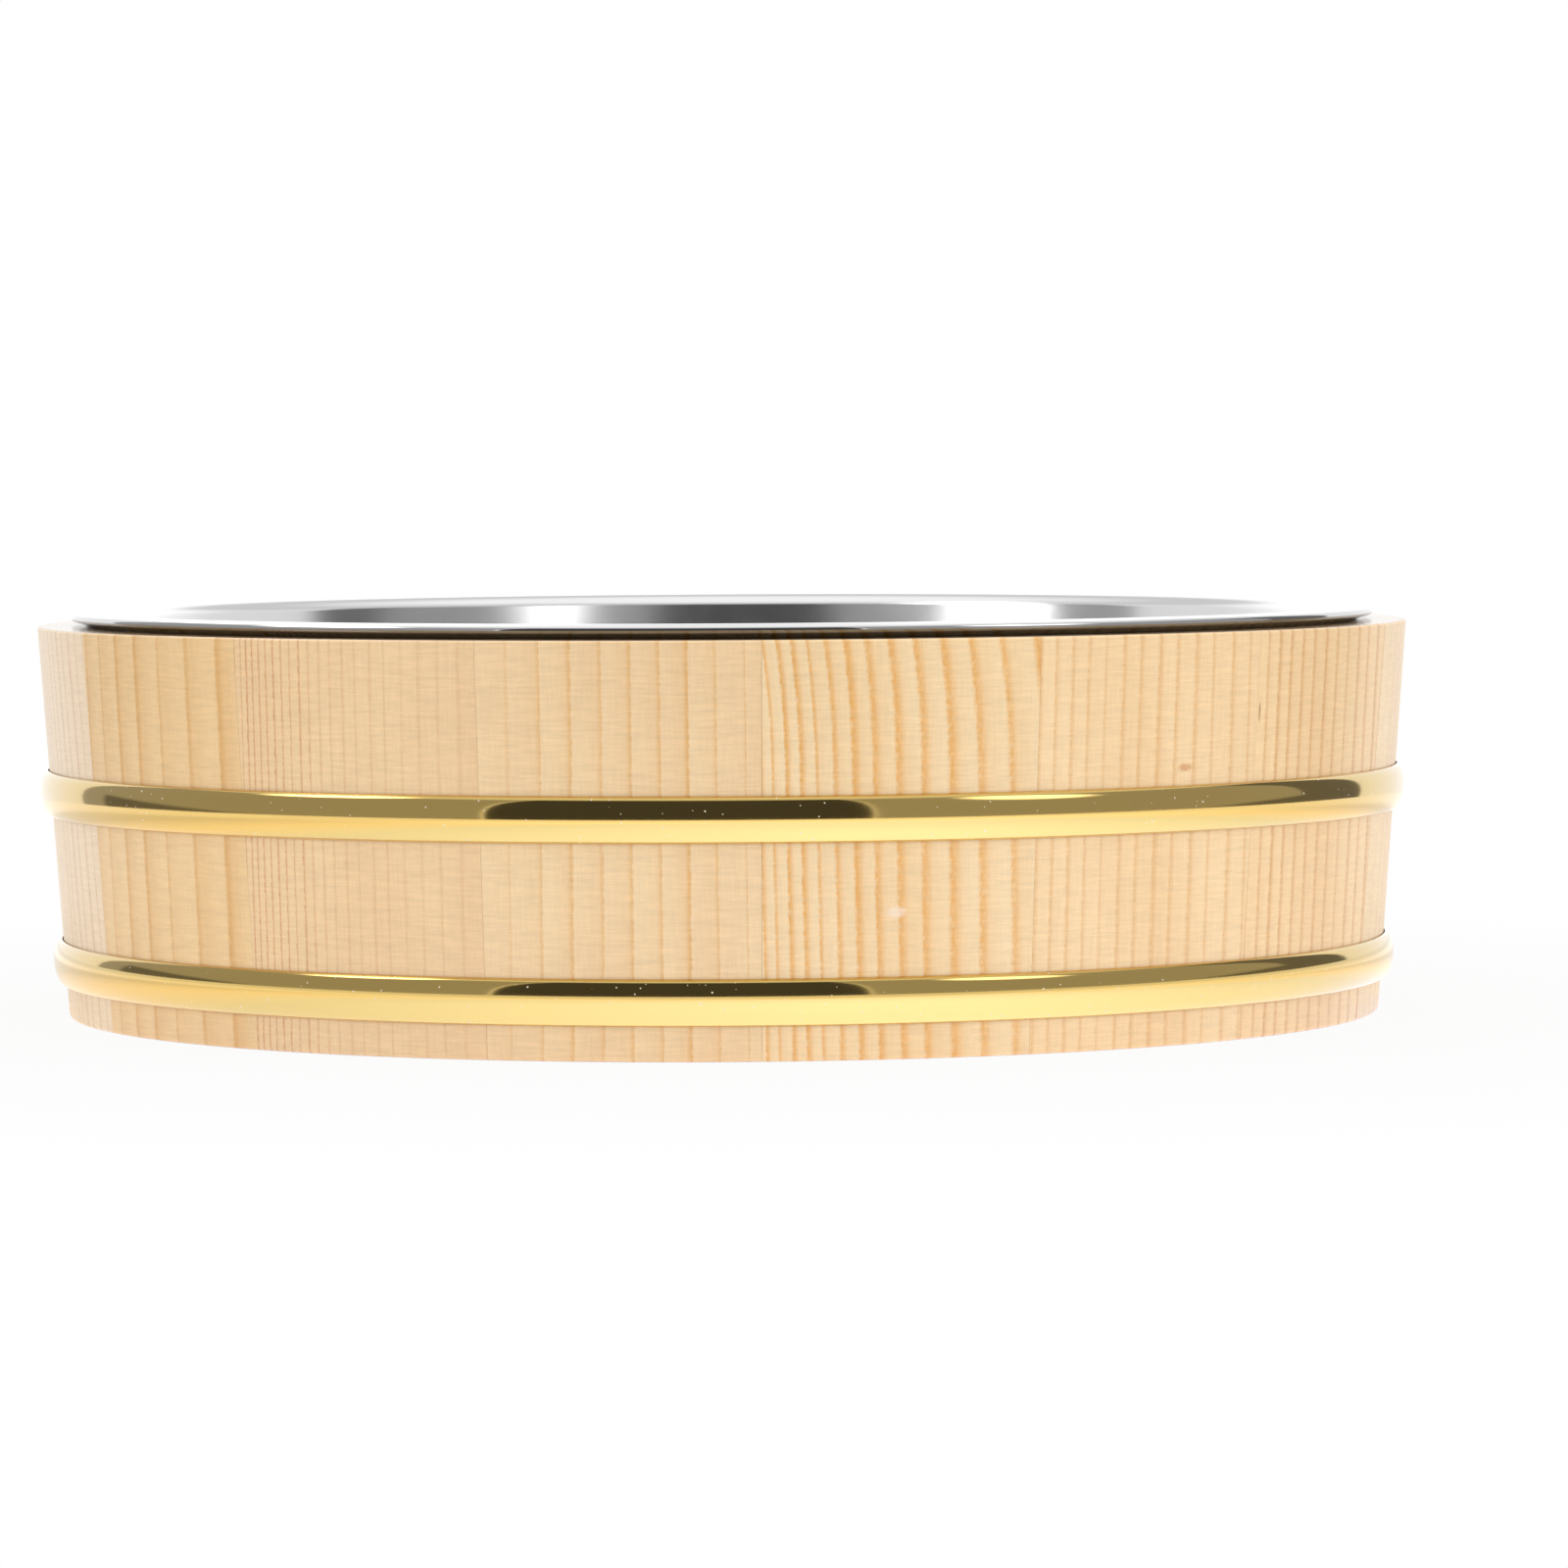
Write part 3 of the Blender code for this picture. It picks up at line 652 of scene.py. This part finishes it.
def tent_cloth(name):
    """Lit cloth: reflections show it white behind the tub, grey at its sides and dark where it is open."""
    material, tree, place = new_material(name)
    axes = add(tree, "ShaderNodeSeparateXYZ", {0: place.outputs["Object"]})
    front = add(tree, "ShaderNodeMath", {0: -TENT_APEX, 1: axes.outputs[1]}, operation="SUBTRACT")
    bearing = add(tree, "ShaderNodeMath", {0: axes.outputs[0], 1: front}, operation="ARCTAN2")
    bands = []
    edges = (TENT_OPENING[0] - EDGE_WIDTH, TENT_OPENING[1] + EDGE_WIDTH)
    for low, high in (TENT_OPENING, edges, TENT_SIDES, TENT_SHADE):
        start = {"Value": bearing, "From Min": low - EDGE_BLUR, "From Max": low + EDGE_BLUR}
        end = {"Value": bearing, "From Min": high + EDGE_BLUR, "From Max": high - EDGE_BLUR}
        start = add(tree, "ShaderNodeMapRange", start)
        end = add(tree, "ShaderNodeMapRange", end)
        bands.append(add(tree, "ShaderNodeMath", {0: start, 1: end}, operation="MULTIPLY"))
    side = add(tree, "ShaderNodeMath", {0: bearing}, operation="ABSOLUTE")
    rear = {"Value": side, "From Min": TENT_REAR[0], "From Max": TENT_REAR[1]}
    rear = add(tree, "ShaderNodeMapRange", rear | {"To Min": BACK_LEVEL[0], "To Max": BACK_LEVEL[1]})
    sides = add(tree, "ShaderNodeMix", {0: bands[2], 2: rear, 3: SIDE_LEVEL}, data_type="FLOAT")
    sides = add(tree, "ShaderNodeMix", {0: bands[3], 2: sides, 3: SHADE_LEVEL}, data_type="FLOAT")
    turn, rise = TENT_HEM
    hem = {"Value": side, "From Min": turn[0], "From Max": turn[1], "To Min": rise[0], "To Max": rise[1]}
    hem = add(tree, "ShaderNodeMapRange", hem)
    above = add(tree, "ShaderNodeMath", {0: axes.outputs[2], 1: hem}, operation="SUBTRACT")
    low = {"Value": above, "From Min": -HEM_BLUR, "From Max": HEM_BLUR, "To Min": 1.0, "To Max": 0.0}
    low = add(tree, "ShaderNodeMapRange", low)
    end = {"Value": side, "From Min": turn[1], "From Max": turn[1] + HEM_END, "To Min": 1.0, "To Max": 0.0}
    end = add(tree, "ShaderNodeMapRange", end)
    low = add(tree, "ShaderNodeMath", {0: low, 1: end}, operation="MULTIPLY")
    sides = add(tree, "ShaderNodeMix", {0: low, 2: sides, 3: SHADE_LEVEL}, data_type="FLOAT")
    rims = add(tree, "ShaderNodeMix", {0: bands[1], 2: sides, 3: EDGE_LEVEL}, data_type="FLOAT")
    walls = add(tree, "ShaderNodeMix", {0: bands[0], 2: rims, 3: OPENING_LEVEL}, data_type="FLOAT")
    top = {"Value": axes.outputs[2], "From Min": TENT_ROOF[0], "From Max": TENT_ROOF[1]}
    roof = add(tree, "ShaderNodeMapRange", top)
    crown = {"Value": axes.outputs[2], "From Min": TENT_CROWN[0], "From Max": TENT_CROWN[1]}
    crown = add(tree, "ShaderNodeMapRange", crown | {"To Min": ROOF_LEVEL[0], "To Max": ROOF_LEVEL[1]})
    level = add(tree, "ShaderNodeMix", {0: roof, 2: walls, 3: crown}, data_type="FLOAT")
    polar = add(tree, "ShaderNodeCombineXYZ", {0: bearing, 1: axes.outputs[2]})
    for turn, height, half_turn, half_height, bright in SPOTS:
        size = (1 / half_turn, 1 / half_height, 0.0)
        centre = (-turn / half_turn, -height / half_height, 0.0)
        off = add(tree, "ShaderNodeVectorMath", {0: polar, 1: size, 2: centre}, operation="MULTIPLY_ADD")
        off = add(tree, "ShaderNodeVectorMath", {0: off}, operation="LENGTH")
        lit = {"Value": off.outputs["Value"], "From Min": SPOT_FADE[0], "From Max": SPOT_FADE[1]}
        lit |= {"To Min": 1.0, "To Max": 0.0}
        lit = add(tree, "ShaderNodeMapRange", lit, interpolation_type="SMOOTHSTEP")
        level = add(tree, "ShaderNodeMix", {0: lit, 2: level, 3: bright}, data_type="FLOAT")
    path = add(tree, "ShaderNodeLightPath")
    level = {0: path.outputs["Is Glossy Ray"], 2: TENT_SOFT_LEVEL, 3: level}
    level = add(tree, "ShaderNodeMix", level, data_type="FLOAT")
    glow = add(tree, "ShaderNodeEmission", {"Strength": level})
    add(tree, "ShaderNodeOutputMaterial", {"Surface": glow})
    return material


bm = bmesh.new()
bmesh.ops.create_grid(bm, x_segments=1, y_segments=1, size=PAPER_SIZE)
paper = new_object(bm, "paper", white_paper("white_paper"))

bm = bmesh.new()
bmesh.ops.create_uvsphere(bm, u_segments=TENT_STEPS, v_segments=TENT_STEPS // 2, radius=TENT_RADIUS)
foot = {"plane_co": (0, 0, TENT_FOOT), "plane_no": (0, 0, 1), "dist": MERGE}
bmesh.ops.bisect_plane(bm, geom=bm.verts[:] + bm.edges[:] + bm.faces[:], clear_inner=True, **foot)
tent = new_object(bm, "tent", tent_cloth("tent_cloth"))
tent.visible_camera = False
tent.visible_shadow = False

for name, spot, size, power, mirrored in LAMPS:
    lamp = bpy.data.lights.new(name, "AREA")
    lamp.energy = power
    lamp.shape = "RECTANGLE"
    lamp.size, lamp.size_y = size
    holder = bpy.data.objects.new(name, lamp)
    bpy.context.scene.collection.objects.link(holder)
    away = Vector((spot[0], spot[1], 0))
    holder.location = spot
    holder.rotation_euler = away.to_track_quat("Z", "Y").to_euler()
    holder.visible_camera = False
    holder.visible_glossy = mirrored

world = bpy.data.worlds.new("white_room")
bpy.context.scene.world = world
world.use_nodes = True
tree = world.node_tree
tree.nodes.clear()
sky = add(tree, "ShaderNodeBackground", {"Color": linear("ffffff"), "Strength": 1.0})
add(tree, "ShaderNodeOutputWorld", {"Surface": sky})


# Camera: level with the tub and a little above its rim, about five and a half widths in front of it, with a
# long lens.
CAMERA_DISTANCE = 1.3654
CAMERA_HEIGHT = 0.1061
CAMERA_YAW = 0.00818
CAMERA_PITCH = 0.04762
CAMERA_ROLL = 0.00544
FOCAL_PIXELS = 7596
FRAME_PIXELS = 1600

lens = bpy.data.cameras.new("camera")
lens.sensor_width = 36.0
lens.lens = lens.sensor_width * FOCAL_PIXELS / FRAME_PIXELS
lens.clip_start = 0.05
camera = bpy.data.objects.new("camera", lens)
bpy.context.scene.collection.objects.link(camera)
camera.matrix_world = (
    Matrix.Translation((0, -CAMERA_DISTANCE, CAMERA_HEIGHT))
    @ Matrix.Rotation(-CAMERA_YAW, 4, "Z")
    @ Matrix.Rotation(math.pi / 2 - CAMERA_PITCH, 4, "X")
    @ Matrix.Rotation(-CAMERA_ROLL, 4, "Z")
)
bpy.context.scene.camera = camera
bpy.context.scene.view_settings.view_transform = "Standard"
